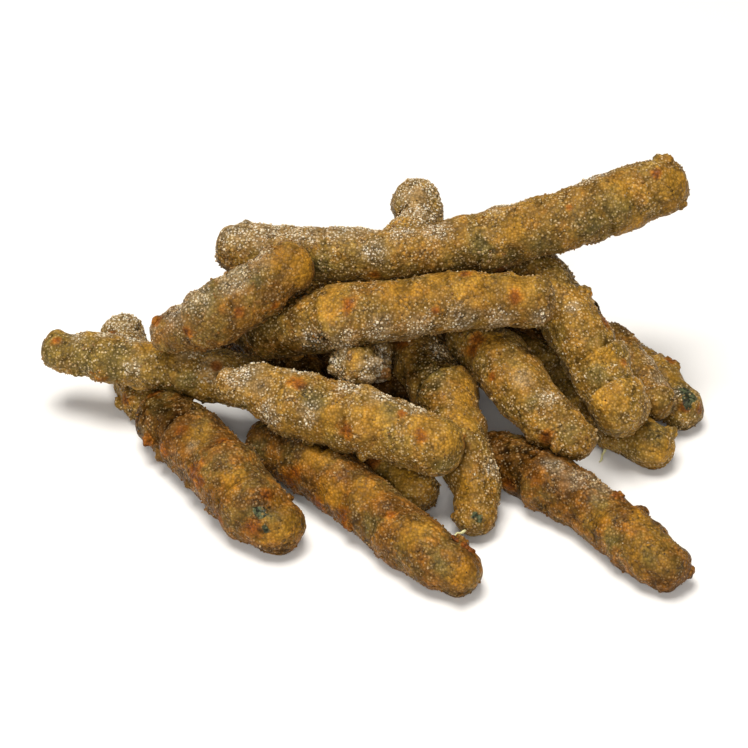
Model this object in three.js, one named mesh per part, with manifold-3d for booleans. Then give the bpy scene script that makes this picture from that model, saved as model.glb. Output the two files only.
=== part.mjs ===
// Battered green beans: a loose heap of fried beans in a sandy crumb batter, lying on a flat surface.
// Millimetres, +Z up. The origin is at the bottom centre of the heap's box, and the camera side is -Y.
import * as THREE from 'three';
import { mergeVertices } from 'three/addons/utils/BufferGeometryUtils.js';
import Module from 'manifold-3d';

const wasm = await Module();
wasm.setup();

// A raw bean is 7 to 9 mm thick and the batter adds 2 to 3 mm all round, so a bean is 9 to 14 mm thick here.
const SIDES = 11; // faces round a bean
const RING_STEP = 4.6; // distance between rings along a bean
const CAP_RINGS = 2; // extra rings on each rounded end
const CAP_POWER = 2.3; // 2 is a half ball, more is blunter
const LUMP_HEIGHT = 0.22; // how far the slow lumps of the batter rise and sink
const LUMP_LENGTH = 15; // length of the slowest lump along a bean
const LUMP_WAVES = 4;
const LEDGE_LENGTH = 9; // how far a double coat of batter runs before it thins out
const LEDGE_EDGE = 1.5; // length of the step at its start
const LEDGE_SPREAD = 140; // degrees to either side that it covers
const LEDGE_BOW = 0.5; // how far a step bends back to the sides, for each squared radian
const NUB_SINK = 0.65; // part of a nub's thickness that is sunk in its bean

// Centreline of each battered bean from one end ball to the other: x, y, z and the radius there.
const BEANS = {
  long_top: [
    [-29, 23, 35.5, 5.6], [-5, 17.5, 37.5, 5.7], [9, 17, 38.5, 5.7], [22.5, 19, 40, 6.3],
    [41.5, 21.5, 44.2, 6.5], [53.5, 26, 46.3, 6.7], [62, 28.3, 48, 6.3],
  ],
  front_top: [
    [-21.5, 7.5, 25, 6.2], [-7.5, 3.5, 31, 7], [5.5, 4, 33, 6.5], [18.5, 5.5, 34.1, 6.1], [33, 5, 34.5, 5.5],
  ],
  left_top: [[-44.1, 6, 25.3, 4.2], [-38.5, 4.5, 28.5, 5.7], [-30.5, 4, 33.7, 6.7], [-18.5, 9, 40, 5.7]],
  cross: [
    [9.5, 43, 34, 5.6], [10, 37, 32, 5.1], [1, 17.5, 26.8, 5.5], [-2.5, 5, 20.3, 5.1], [-4, -2.5, 23.2, 5.2],
  ],
  left_arm: [
    [-69.3, 13.5, 14.6, 4.4], [-59.5, 11.5, 14.5, 5.2], [-49.5, 9, 14, 5.3], [-27, 3.5, 13.8, 6],
  ],
  left_foot: [[-58, 31.5, 4.8, 5.1], [-55, 19.5, 4.5, 4.8], [-51.5, 9, 4.4, 4.7]],
  left_floor: [
    [-44.9, -1, 6.4, 6.8], [-38.3, -9.3, 6.8, 7.1], [-30.9, -20.7, 7, 7.3], [-24.9, -29.7, 6.7, 7],
    [-20.3, -33.6, 5.6, 5.9],
  ],
  middle: [
    [-30, -5, 19.5, 3.8], [-24, -6, 19.2, 5.5], [-17.5, -9.5, 18.8, 6.8], [-6, -14, 18.2, 7.2],
    [2.5, -17.5, 18, 6.6], [12.5, -22.5, 17.4, 6.1],
  ],
  front_floor: [
    [-22, -8, 5.4, 5.7], [-13, -16, 6.4, 6.7], [-3.5, -26, 6.1, 6.4], [3.8, -34.2, 5.8, 6.1],
    [11.1, -42.7, 5.8, 6.1], [16.5, -46.6, 4.8, 5.1],
  ],
  short_floor: [[-5, -9.5, 4.7, 5], [8.8, -21.5, 4.6, 4.8]],
  leaning: [
    [8.5, 15, 14.8, 6.7], [15.5, -3.5, 13.4, 6.5], [19, -16.5, 11.2, 5.7], [21.3, -24, 7.4, 5.2],
    [21.2, -29.5, 4.3, 4.2],
  ],
  right_floor: [
    [27, -12.5, 5.5, 5.8], [31.5, -16, 5.8, 6.1], [39.1, -22.8, 5.9, 6.2], [47.3, -30.9, 5.4, 5.7],
    [54.6, -40.7, 5.6, 5.9], [58.5, -45, 4.9, 5.2],
  ],
  right_inner: [
    [22, 11, 19.6, 6], [27.5, 3, 19.2, 6.8], [31, -3.5, 18, 6.3], [37, -11.5, 15.8, 5.9],
    [42.2, -15.6, 13.9, 4.6],
  ],
  right_under: [[37, 27.5, 5.7, 6], [45, 8.5, 5.6, 5.9], [53, -0.4, 5.5, 5.9], [60, -7.4, 4.7, 4.9]],
  right_outer: [[35.6, 20.5, 31.2, 5.8], [44, 8.5, 24.1, 6.5], [48.5, 2.5, 18.3, 6.2], [52.5, -6.5, 14.2, 5.8]],
  right_third: [[53.5, 17, 13.4, 4.8], [58, 9, 11, 4.8], [61.5, 2.5, 9.6, 4.5]],
  right_last: [[52.5, 29, 4.9, 5.2], [61, 18.5, 4.9, 5.2], [68, 6, 4.6, 4.9]],
  rear_crest: [[15, 27.5, 34, 4.6], [20.5, 30.5, 32.8, 5.1], [35.5, 42, 16.5, 5.7]],
  inner_floor: [[-21, 16, 5, 5], [-10, 17.5, 5.6, 5.1], [0, 20.5, 5.6, 5]],
  rear_floor: [[-37, 31.5, 5.3, 5.7], [-8, 40, 6.2, 6.7], [16, 46.5, 5.6, 6]],
  inner_left: [[-34, 25, 16, 5.5], [-22, 14, 15.4, 6.2], [-11, -1, 10.8, 5.5]],
  rear_right: [[20, 35, 5.2, 5.6], [32, 39, 5.8, 6.1], [44, 42, 5.2, 5.6]],
  rear_middle: [[-21, 39, 17.4, 5.8], [-4, 37, 19.2, 6.6], [14, 33, 19.6, 6.4]],
  inner_short: [[6, 8, 4.6, 4.8], [11, 12.5, 4.8, 5], [16, 17, 4.8, 4.9]],
  inner_right: [[25, 31, 16, 5.9], [36, 25.5, 17.8, 6.3], [44.5, 19.5, 18.4, 6]],
};

// Steps in the coat: where the thicker coat starts along the bean, its side in degrees from the top
// (positive to the right of the way the bean runs), and its height.
const LEDGES = {
  long_top: [[20, -20, 0.6], [52, 140, 0.8], [80, 60, 0.6]],
  front_top: [[14, 10, 0.5], [40, -30, 0.6]],
  left_top: [[8, 40, 0.5]],
  cross: [[9, 0, 0.8], [40, -60, 0.6]],
  left_arm: [[8, 110, 0.6], [26, -20, 0.5]],
  left_floor: [[8, 40, 0.6], [22, -10, 0.8], [33, 60, 0.6]],
  middle: [[12, 120, 0.6], [28, 10, 0.5]],
  front_floor: [[16, -40, 0.5], [38, 90, 0.7]],
  leaning: [[16.5, -50, 1.4], [33, 40, 0.4]],
  right_floor: [[10, 30, 0.5], [32, 60, 0.6]],
  right_inner: [[14, -50, 0.6]],
  right_outer: [[22.5, 0, 1.2], [33, 0, 1.1]],
  right_last: [[15, -50, 0.8]],
  rear_floor: [[20, 60, 0.8]],
  rear_middle: [[14, 100, 0.8]],
};

// Nubs of batter that stand out: how far along the bean, degrees from the top, and radius.
const NUBS = {
  long_top: [[96.5, -18, 1.9], [97, 122, 1.4], [1, -22, 1.5], [67, -5, 1.4], [46, 165, 1.6], [60, 170, 1.5]],
  front_top: [[60, -20, 1.2], [4, 160, 1.5]],
  left_top: [[-0.8, 6, 1.1], [29, -60, 1.3]],
  cross: [[47, -100, 2.6], [43, -108, 1.8], [12.5, 60, 1.7]],
  left_arm: [[11, 100, 1.6], [5, 120, 1.2], [30, 170, 1.5]],
  left_foot: [[1, -30, 1.4], [22, 100, 1.6]],
  left_floor: [[2, 92, 1.7], [7, 110, 1.5], [20, 100, 1.3], [40, -60, 1.3]],
  middle: [[50, -50, 1.5], [20, 135, 1.5], [32, 130, 1.5]],
  front_floor: [[53, -50, 1.6], [57.5, 72, 1.1], [30, 100, 1.5], [0, 60, 1.3]],
  leaning: [[18, -62, 1.5], [48.5, 82, 1.4]],
  right_floor: [[29, -30, 1.6], [34.5, -48, 1.4], [49.5, -100, 1.5], [16, 100, 1.4]],
  right_inner: [[33, 90, 1.3], [4, 40, 1.4]],
  right_under: [[44, -60, 1.4]],
  right_outer: [[10.5, -53, 1.7], [36, 120, 1.5]],
  right_last: [[18.5, -50, 2.2], [28, 60, 1.4]],
  rear_floor: [[30, 0, 1.8], [55, -70, 1.6]],
  rear_middle: [[8, -80, 1.7]],
  rear_crest: [[24, -40, 1.6]],
};

// Scraps of batter and broken beans in the middle of the heap, which hold the others apart.
const CORE_CENTRE = new THREE.Vector3(0, 17, 9);
const CORE_HALF = new THREE.Vector3(22, 15, 10);
const CORE_SIDES = 16;
const CORE_RINGS = 8;
const CORE_LUMP = 0.12; // share of the core's radius that its lumps rise and sink
const CORE_WAVES = new THREE.Vector3(5, 4, 6); // how fast the lumps follow each other along X, Y and Z

const GROUND_SIDE = 400; // larger than the heap
const GROUND_DEPTH = 40;
const WELD_DISTANCE = 0.001; // corners closer than this are one corner

// Repeatable angle from two whole numbers
function phase(seed, index) {
  const value = Math.sin(seed * 12.9898 + index * 78.233) * 43758.5453;
  return 2 * Math.PI * (value - Math.floor(value));
}

// Slow lumps of the batter, as waves along and round the bean
function lumps(seed, along, around) {
  let sum = 0;
  for (let wave = 0; wave < LUMP_WAVES; wave++) {
    const turns = 1 + (wave % 3);
    const travel = (2 * Math.PI * along * (1 + 0.45 * wave)) / LUMP_LENGTH;
    sum += Math.cos(turns * around + phase(seed, 2 * wave)) * Math.cos(travel + phase(seed, 2 * wave + 1));
  }
  return (LUMP_HEIGHT * sum) / Math.sqrt(LUMP_WAVES / 2);
}

// Height of the double coats at a point of the bean
function ledgeHeight(ledges, along, around) {
  let height = 0;
  for (const [start, side, rise] of ledges) {
    const turn = around - THREE.MathUtils.degToRad(side);
    const away = Math.abs(Math.atan2(Math.sin(turn), Math.cos(turn)));
    const from = along - start - LEDGE_BOW * away * away;
    const rising = THREE.MathUtils.smoothstep(from, -LEDGE_EDGE, 0);
    const falling = 1 - THREE.MathUtils.smoothstep(from, LEDGE_EDGE, LEDGE_LENGTH);
    const spread = 1 - THREE.MathUtils.smoothstep(THREE.MathUtils.radToDeg(away), LEDGE_SPREAD / 3, LEDGE_SPREAD);
    height += rise * rising * falling * spread;
  }
  return height;
}

// The centreline with its length, and the place, radius and directions at a distance along it
class Line {
  constructor(rows) {
    this.rows = rows;
    this.curve = new THREE.CatmullRomCurve3(rows.map(([x, y, z]) => new THREE.Vector3(x, y, z)));
    this.curve.curveType = 'catmullrom';
    this.length = this.curve.getLength();
  }

  at(along) {
    const share = THREE.MathUtils.clamp(along / this.length, 0, 1);
    const t = this.curve.getUtoTmapping(share);
    const span = t * (this.rows.length - 1);
    const row = Math.min(Math.floor(span), this.rows.length - 2);
    const radius = THREE.MathUtils.lerp(this.rows[row][3], this.rows[row + 1][3], span - row);
    const tangent = this.curve.getTangent(t);
    const side = tangent.clone().cross(new THREE.Vector3(0, 0, 1)).normalize();
    const up = side.clone().cross(tangent);
    const past = along - share * this.length;
    const place = this.curve.getPoint(t).addScaledVector(tangent, past);
    return { place, radius, side, up, past };
  }
}

// Distances along a bean at which its rings lie, with closer ones on the rounded ends
function stations(line) {
  const first = line.rows[0][3];
  const last = line.rows[line.rows.length - 1][3];
  const bodyRings = Math.max(Math.round(line.length / RING_STEP), 2);
  const list = [];
  for (let ring = 0; ring <= CAP_RINGS; ring++) {
    list.push(-first * Math.cos((ring / (CAP_RINGS + 1)) * (Math.PI / 2)));
  }
  for (let ring = 0; ring <= bodyRings; ring++) {
    list.push((ring / bodyRings) * line.length);
  }
  for (let ring = CAP_RINGS; ring >= 0; ring--) {
    list.push(line.length + last * Math.cos((ring / (CAP_RINGS + 1)) * (Math.PI / 2)));
  }
  return list;
}

// A ball whose rings are moved onto the bean's stations
function beanGeometry(line, seed, ledges) {
  const rings = stations(line);
  const geometry = new THREE.SphereGeometry(1, SIDES, rings.length - 1);
  const fullRadius = 1 / Math.cos(Math.PI / SIDES / 2); // keeps the faces as far out as a round bean
  const position = geometry.attributes.position;
  const point = new THREE.Vector3();
  for (let index = 0; index < position.count; index++) {
    point.fromBufferAttribute(position, index);
    const down = Math.acos(THREE.MathUtils.clamp(point.y, -1, 1)) / Math.PI;
    const ring = Math.round(down * (rings.length - 1));
    const along = rings[ring];
    const { place, radius, side, up, past } = line.at(along);
    const around = Math.atan2(-point.x, point.z);
    const closing = Math.pow(Math.min(Math.abs(past) / radius, 1), CAP_POWER);
    const cap = Math.pow(Math.max(1 - closing, 0), 1 / CAP_POWER);
    const relief = lumps(seed, along, around) + ledgeHeight(ledges, along, around);
    const reach = (radius * fullRadius + relief) * cap;
    const atPole = ring === 0 || ring === rings.length - 1;
    point.copy(place);
    if (!atPole) {
      point.addScaledVector(side, reach * Math.sin(around)).addScaledVector(up, reach * Math.cos(around));
    }
    position.setXYZ(index, point.x, point.y, point.z);
  }
  return geometry;
}

// A small rough nub, half sunk in its bean
function nubGeometry(line, along, degrees, size) {
  const { place, radius, side, up, past } = line.at(along);
  const around = THREE.MathUtils.degToRad(degrees);
  const cap = Math.sqrt(Math.max(1 - Math.pow(Math.abs(past) / radius, 2), 0));
  const reach = radius * cap + size * (1 - 2 * NUB_SINK);
  const centre = place.addScaledVector(side, reach * Math.sin(around));
  centre.addScaledVector(up, reach * Math.cos(around));
  const geometry = new THREE.IcosahedronGeometry(size, 0);
  geometry.rotateX(phase(along, degrees));
  geometry.rotateY(phase(degrees, along));
  geometry.translate(centre.x, centre.y, centre.z);
  return geometry;
}

function coreGeometry() {
  const geometry = new THREE.SphereGeometry(1, CORE_SIDES, CORE_RINGS);
  const position = geometry.attributes.position;
  const point = new THREE.Vector3();
  for (let index = 0; index < position.count; index++) {
    point.fromBufferAttribute(position, index);
    const wave = point.clone().multiply(CORE_WAVES);
    const lump = Math.cos(wave.x) * Math.cos(wave.y) + Math.sin(wave.z);
    point.multiplyScalar(1 + CORE_LUMP * lump).multiply(CORE_HALF).add(CORE_CENTRE);
    position.setXYZ(index, point.x, point.y, point.z);
  }
  return geometry;
}

// Everything below the surface that the heap lies on
function groundGeometry() {
  const geometry = new THREE.BoxGeometry(GROUND_SIDE, GROUND_SIDE, GROUND_DEPTH);
  geometry.translate(0, 0, -GROUND_DEPTH / 2);
  return geometry;
}

function toSolid(geometry) {
  geometry.deleteAttribute('normal');
  geometry.deleteAttribute('uv');
  const merged = mergeVertices(geometry, WELD_DISTANCE);
  return new wasm.Manifold(new wasm.Mesh({
    numProp: 3,
    vertProperties: Float32Array.from(merged.attributes.position.array),
    triVerts: Uint32Array.from(merged.index.array),
  }));
}

function toGeometry(solid) {
  const mesh = solid.getMesh();
  const geometry = new THREE.BufferGeometry();
  geometry.setAttribute('position', new THREE.BufferAttribute(mesh.vertProperties, 3));
  geometry.setIndex(new THREE.BufferAttribute(mesh.triVerts, 1));
  return geometry;
}

function heapSolid() {
  let heap = toSolid(coreGeometry());
  for (const [seed, [name, rows]] of Object.entries(BEANS).entries()) {
    const line = new Line(rows);
    heap = heap.add(toSolid(beanGeometry(line, seed + 1, LEDGES[name] ?? [])));
    for (const [along, degrees, size] of NUBS[name] ?? []) {
      heap = heap.add(toSolid(nubGeometry(line, along, degrees, size)));
    }
  }
  return heap.subtract(toSolid(groundGeometry()));
}

const batter = new THREE.MeshStandardMaterial({ color: 0xb58a4c, roughness: 0.85, metalness: 0 });

const beanHeap = new THREE.Mesh(toGeometry(heapSolid()), batter);
beanHeap.name = 'bean_heap';

const batteredBeans = new THREE.Group();
batteredBeans.add(beanHeap);

export default batteredBeans;
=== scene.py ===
# %% [markdown]
# Battered green beans
#
# A loose heap of fried green beans in a sandy crumb batter. Each bean is a separate piece here: a ball
# whose rings are drawn out along the bean's centreline, then roughened from slow lumps of thick batter
# down to crags and pimples, and dusted with loose crumbs. The heap's solid in the frame is the same set
# of beans with few sides, fused into one, and these pieces stand for it.

# %% Load the frame
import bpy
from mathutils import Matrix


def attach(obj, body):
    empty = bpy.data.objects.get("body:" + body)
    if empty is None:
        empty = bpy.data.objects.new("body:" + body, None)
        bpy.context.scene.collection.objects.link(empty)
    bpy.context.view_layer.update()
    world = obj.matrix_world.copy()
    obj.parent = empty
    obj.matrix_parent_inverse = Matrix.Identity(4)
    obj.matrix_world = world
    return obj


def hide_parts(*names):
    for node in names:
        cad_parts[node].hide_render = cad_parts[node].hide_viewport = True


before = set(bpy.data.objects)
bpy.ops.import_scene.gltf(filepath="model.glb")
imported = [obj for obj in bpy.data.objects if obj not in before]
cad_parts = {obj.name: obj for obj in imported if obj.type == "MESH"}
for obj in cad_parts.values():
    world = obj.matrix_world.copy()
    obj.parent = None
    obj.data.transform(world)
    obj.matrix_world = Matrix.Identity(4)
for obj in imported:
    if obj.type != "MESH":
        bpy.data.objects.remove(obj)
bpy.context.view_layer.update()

# %% Libraries
import math
import bmesh
import bpy
import numpy as np
from mathutils import Vector, noise

MM = 0.001
ROOT = "root"
HEAP = "bean_heap"
scene = bpy.context.scene
print("Blender", bpy.app.version_string)

# %% [markdown]
# The camera looks down at the heap by 38 degrees, from half a metre away, through a long lens. A plain
# camera object turned towards its target is enough. Its distance follows from the scale: one pixel of
# the picture is 0.23 mm at the middle of the heap.

# %% Camera
PICTURE_SIDE = 748
MM_PER_PIXEL = 0.23
LENS_MM = 100
SENSOR_MM = 36
LOOK_DOWN = math.radians(38)
TARGET = Vector((0, 24 * MM, 0))

distance = MM_PER_PIXEL * MM * PICTURE_SIDE * LENS_MM / SENSOR_MM
camera = bpy.data.objects.new("camera", bpy.data.cameras.new("camera"))
camera.data.lens = LENS_MM
camera.data.sensor_width = SENSOR_MM
camera.location = TARGET + distance * Vector((0, -math.cos(LOOK_DOWN), math.sin(LOOK_DOWN)))
camera.rotation_euler = (math.pi / 2 - LOOK_DOWN, 0, 0)
scene.collection.objects.link(camera)
scene.camera = camera
print("camera at", [round(v, 3) for v in camera.location])

# %% [markdown]
# The light is a bright studio. White surroundings fill faintly from all sides, one large soft lamp hangs
# above the heap and a weaker one stands in front. Area lamps are used, because their size sets how soft
# the shadows are.

# %% Floor and light
def hex_colour(code):
    """A six-digit sRGB colour as linear red, green, blue and alpha"""
    channels = [int(code[i:i + 2], 16) / 255 for i in (0, 2, 4)]
    linear = [c / 12.92 if c <= 0.04045 else ((c + 0.055) / 1.055) ** 2.4 for c in channels]
    return (*linear, 1.0)


def add_node(tree, kind, inputs=None, **settings):
    """Adds a node. Inputs are given by name or number, as a value or as another node's output."""
    new = tree.nodes.new(kind)
    for name, value in settings.items():
        setattr(new, name, value)
    for key, value in (inputs or {}).items():
        if isinstance(value, bpy.types.NodeSocket):
            tree.links.new(value, new.inputs[key])
        else:
            new.inputs[key].default_value = value
    return new


def lamp(name, place, side, watts, colour):
    """A square area lamp that faces the heap"""
    light = bpy.data.objects.new(name, bpy.data.lights.new(name, "AREA"))
    light.data.shape = "SQUARE"
    light.data.size = side
    light.data.energy = watts
    light.data.color = hex_colour(colour)[:3]
    light.location = place
    light.rotation_euler = (TARGET - Vector(place)).to_track_quat("-Z", "Y").to_euler()
    scene.collection.objects.link(light)
    return light


world = bpy.data.worlds.new("studio")
scene.world = world
world.use_nodes = True
surroundings = world.node_tree.nodes["Background"]
surroundings.inputs["Color"].default_value = hex_colour("FFFFFF")
surroundings.inputs["Strength"].default_value = 0.145
scene.view_settings.view_transform = "Standard"

lamp("lamp_above", (-0.12, 0.02, 0.9), 0.5, 11.2, "FFFBF4")
lamp("lamp_front", (-0.05, -0.65, 0.42), 0.4, 3.7, "FFFBF6")

bm = bmesh.new()
bmesh.ops.create_grid(bm, x_segments=1, y_segments=1, size=3)
floor_mesh = bpy.data.meshes.new("floor")
bm.to_mesh(floor_mesh)
bm.free()
floor = bpy.data.objects.new("floor", floor_mesh)
scene.collection.objects.link(floor)

paint = bpy.data.materials.new("white_studio_paper")
paint.use_nodes = True
paper = paint.node_tree.nodes["Principled BSDF"]
paper.inputs["Base Color"].default_value = hex_colour("E6E5E4")
paper.inputs["Roughness"].default_value = 0.9
floor.data.materials.append(paint)

# %% [markdown]
# The beans' sizes. A raw bean is 7 to 9 mm thick and the batter adds 2 to 3 mm all round. Each bean is a
# list of places along its centreline with the radius there, all in millimetres, the same as in the
# frame. The ledges are places where a second coat of batter starts with a step, and the nubs are small
# balls of batter that stand out.

# %% Sizes of the beans
CAP_POWER = 2.3
LUMP_HEIGHT = 0.22
LUMP_LENGTH = 15
LUMP_WAVES = 4
LEDGE_LENGTH = 9
LEDGE_EDGE = 1.5
LEDGE_SPREAD = 140
LEDGE_BOW = 0.5

BEANS = {
    "long_top": [
        (-29, 23, 35.5, 5.6), (-5, 17.5, 37.5, 5.7), (9, 17, 38.5, 5.7), (22.5, 19, 40, 6.3),
        (41.5, 21.5, 44.2, 6.5), (53.5, 26, 46.3, 6.7), (62, 28.3, 48, 6.3),
    ],
    "front_top": [
        (-21.5, 7.5, 25, 6.2), (-7.5, 3.5, 31, 7), (5.5, 4, 33, 6.5), (18.5, 5.5, 34.1, 6.1),
        (33, 5, 34.5, 5.5),
    ],
    "left_top": [
        (-44.1, 6, 25.3, 4.2), (-38.5, 4.5, 28.5, 5.7), (-30.5, 4, 33.7, 6.7), (-18.5, 9, 40, 5.7),
    ],
    "cross": [
        (9.5, 43, 34, 5.6), (10, 37, 32, 5.1), (1, 17.5, 26.8, 5.5), (-2.5, 5, 20.3, 5.1),
        (-4, -2.5, 23.2, 5.2),
    ],
    "left_arm": [
        (-69.3, 13.5, 14.6, 4.4), (-59.5, 11.5, 14.5, 5.2), (-49.5, 9, 14, 5.3), (-27, 3.5, 13.8, 6),
    ],
    "left_foot": [(-58, 31.5, 4.8, 5.1), (-55, 19.5, 4.5, 4.8), (-51.5, 9, 4.4, 4.7)],
    "left_floor": [
        (-44.9, -1, 6.4, 6.8), (-38.3, -9.3, 6.8, 7.1), (-30.9, -20.7, 7, 7.3), (-24.9, -29.7, 6.7, 7),
        (-20.3, -33.6, 5.6, 5.9),
    ],
    "middle": [
        (-30, -5, 19.5, 3.8), (-24, -6, 19.2, 5.5), (-17.5, -9.5, 18.8, 6.8), (-6, -14, 18.2, 7.2),
        (2.5, -17.5, 18, 6.6), (12.5, -22.5, 17.4, 6.1),
    ],
    "front_floor": [
        (-22, -8, 5.4, 5.7), (-13, -16, 6.4, 6.7), (-3.5, -26, 6.1, 6.4), (3.8, -34.2, 5.8, 6.1),
        (11.1, -42.7, 5.8, 6.1), (16.5, -46.6, 4.8, 5.1),
    ],
    "short_floor": [(-5, -9.5, 4.7, 5), (8.8, -21.5, 4.6, 4.8)],
    "leaning": [
        (8.5, 15, 14.8, 6.7), (15.5, -3.5, 13.4, 6.5), (19, -16.5, 11.2, 5.7), (21.3, -24, 7.4, 5.2),
        (21.2, -29.5, 4.3, 4.2),
    ],
    "right_floor": [
        (27, -12.5, 5.5, 5.8), (31.5, -16, 5.8, 6.1), (39.1, -22.8, 5.9, 6.2), (47.3, -30.9, 5.4, 5.7),
        (54.6, -40.7, 5.6, 5.9), (58.5, -45, 4.9, 5.2),
    ],
    "right_inner": [
        (22, 11, 19.6, 6), (27.5, 3, 19.2, 6.8), (31, -3.5, 18, 6.3), (37, -11.5, 15.8, 5.9),
        (42.2, -15.6, 13.9, 4.6),
    ],
    "right_under": [(37, 27.5, 5.7, 6), (45, 8.5, 5.6, 5.9), (53, -0.4, 5.5, 5.9), (60, -7.4, 4.7, 4.9)],
    "right_outer": [
        (35.6, 20.5, 31.2, 5.8), (44, 8.5, 24.1, 6.5), (48.5, 2.5, 18.3, 6.2), (52.5, -6.5, 14.2, 5.8),
    ],
    "right_third": [(53.5, 17, 13.4, 4.8), (58, 9, 11, 4.8), (61.5, 2.5, 9.6, 4.5)],
    "right_last": [(52.5, 29, 4.9, 5.2), (61, 18.5, 4.9, 5.2), (68, 6, 4.6, 4.9)],
    "rear_crest": [(15, 27.5, 34, 4.6), (20.5, 30.5, 32.8, 5.1), (35.5, 42, 16.5, 5.7)],
    "inner_floor": [(-21, 16, 5, 5), (-10, 17.5, 5.6, 5.1), (0, 20.5, 5.6, 5)],
    "rear_floor": [(-37, 31.5, 5.3, 5.7), (-8, 40, 6.2, 6.7), (16, 46.5, 5.6, 6)],
    "inner_left": [(-34, 25, 16, 5.5), (-22, 14, 15.4, 6.2), (-11, -1, 10.8, 5.5)],
    "rear_right": [(20, 35, 5.2, 5.6), (32, 39, 5.8, 6.1), (44, 42, 5.2, 5.6)],
    "rear_middle": [(-21, 39, 17.4, 5.8), (-4, 37, 19.2, 6.6), (14, 33, 19.6, 6.4)],
    "inner_short": [(6, 8, 4.6, 4.8), (11, 12.5, 4.8, 5), (16, 17, 4.8, 4.9)],
    "inner_right": [(25, 31, 16, 5.9), (36, 25.5, 17.8, 6.3), (44.5, 19.5, 18.4, 6)],
}

LEDGES = {
    "long_top": [(20, -20, 0.6), (52, 140, 0.8), (80, 60, 0.6)],
    "front_top": [(14, 10, 0.5), (40, -30, 0.6)],
    "left_top": [(8, 40, 0.5)],
    "cross": [(9, 0, 0.8), (40, -60, 0.6)],
    "left_arm": [(8, 110, 0.6), (26, -20, 0.5)],
    "left_floor": [(8, 40, 0.6), (22, -10, 0.8), (33, 60, 0.6)],
    "middle": [(12, 120, 0.6), (28, 10, 0.5)],
    "front_floor": [(16, -40, 0.5), (38, 90, 0.7)],
    "leaning": [(16.5, -50, 1.4), (33, 40, 0.4)],
    "right_floor": [(10, 30, 0.5), (32, 60, 0.6)],
    "right_inner": [(14, -50, 0.6)],
    "right_outer": [(22.5, 0, 1.2), (33, 0, 1.1)],
    "right_last": [(15, -50, 0.8)],
    "rear_floor": [(20, 60, 0.8)],
    "rear_middle": [(14, 100, 0.8)],
}

NUBS = {
    "long_top": [
        (96.5, -18, 1.9), (97, 122, 1.4), (1, -22, 1.5), (67, -5, 1.4), (46, 165, 1.6), (60, 170, 1.5),
    ],
    "front_top": [(60, -20, 1.2), (4, 160, 1.5)],
    "left_top": [(-0.8, 6, 1.1), (29, -60, 1.3)],
    "cross": [(47, -100, 2.6), (43, -108, 1.8), (12.5, 60, 1.7)],
    "left_arm": [(11, 100, 1.6), (5, 120, 1.2), (30, 170, 1.5)],
    "left_foot": [(1, -30, 1.4), (22, 100, 1.6)],
    "left_floor": [(2, 92, 1.7), (7, 110, 1.5), (20, 100, 1.3), (40, -60, 1.3)],
    "middle": [(50, -50, 1.5), (20, 135, 1.5), (32, 130, 1.5)],
    "front_floor": [(53, -50, 1.6), (57.5, 72, 1.1), (30, 100, 1.5), (0, 60, 1.3)],
    "leaning": [(18, -62, 1.5), (48.5, 82, 1.4)],
    "right_floor": [(29, -30, 1.6), (34.5, -48, 1.4), (49.5, -100, 1.5), (16, 100, 1.4)],
    "right_inner": [(33, 90, 1.3), (4, 40, 1.4)],
    "right_under": [(44, -60, 1.4)],
    "right_outer": [(10.5, -53, 1.7), (36, 120, 1.5)],
    "right_last": [(18.5, -50, 2.2), (28, 60, 1.4)],
    "rear_floor": [(30, 0, 1.8), (55, -70, 1.6)],
    "rear_middle": [(8, -80, 1.7)],
    "rear_crest": [(24, -40, 1.6)],
}
print(len(BEANS), "beans and", sum(len(rows) for rows in NUBS.values()), "nubs")

# %% [markdown]
# A bean follows a smooth curve through its places. The curve is measured once, so that a distance along
# the bean gives its place, its radius and its sideways and upward directions.

# %% Centreline
STEPS = 400
UP = np.array((0.0, 0.0, 1.0))


def unit(rows):
    """Rows of vectors made one long"""
    return rows / np.linalg.norm(rows, axis=-1, keepdims=True)


class Line:
    """The centreline of one bean"""

    def __init__(self, rows):
        rows = np.array(rows, float)
        self.first = rows[0, 3]
        self.last = rows[-1, 3]
        points = rows[:, :3]
        points = np.vstack([2 * points[0] - points[1], points, 2 * points[-1] - points[-2]])
        span = np.linspace(0, len(rows) - 1, STEPS)
        row = np.minimum(span.astype(int), len(rows) - 2)
        f = (span - row)[:, None]
        a, b, c, d = (points[row + k] for k in range(4))
        self.points = 0.5 * (2 * b + (c - a) * f + (2 * a - 5 * b + 4 * c - d) * f**2
                             + (3 * b - a - 3 * c + d) * f**3)
        self.radii = np.interp(span, np.arange(len(rows)), rows[:, 3])
        steps = np.linalg.norm(np.diff(self.points, axis=0), axis=1)
        self.along = np.concatenate([[0], np.cumsum(steps)])
        self.length = self.along[-1]
        self.tangents = unit(np.gradient(self.points, self.along, axis=0))

    def at(self, along):
        """Place, radius, side, up and distance past the end, for an array of distances"""
        inside = np.clip(along, 0, self.length)
        place = np.stack([np.interp(inside, self.along, self.points[:, k]) for k in range(3)], -1)
        tangent = unit(np.stack([np.interp(inside, self.along, self.tangents[:, k]) for k in range(3)], -1))
        radius = np.interp(inside, self.along, self.radii)
        side = unit(np.cross(tangent, UP))
        up = np.cross(side, tangent)
        past = along - inside
        return place + tangent * past[:, None], radius, side, up, past

    def surface_point(self, along, degrees):
        """The point of the bean's skin at a distance along it and an angle from its top"""
        place, radius, side, up, past = (v[0] for v in self.at(np.array([float(along)])))
        turn = math.radians(degrees)
        reach = radius * math.sqrt(max(1 - (past / radius) ** 2, 0))
        normal = side * math.sin(turn) + up * math.cos(turn)
        return place + normal * reach, normal


LINES = {name: Line(rows) for name, rows in BEANS.items()}
print("longest bean", round(max(line.length + line.first + line.last for line in LINES.values())), "mm")

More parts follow.
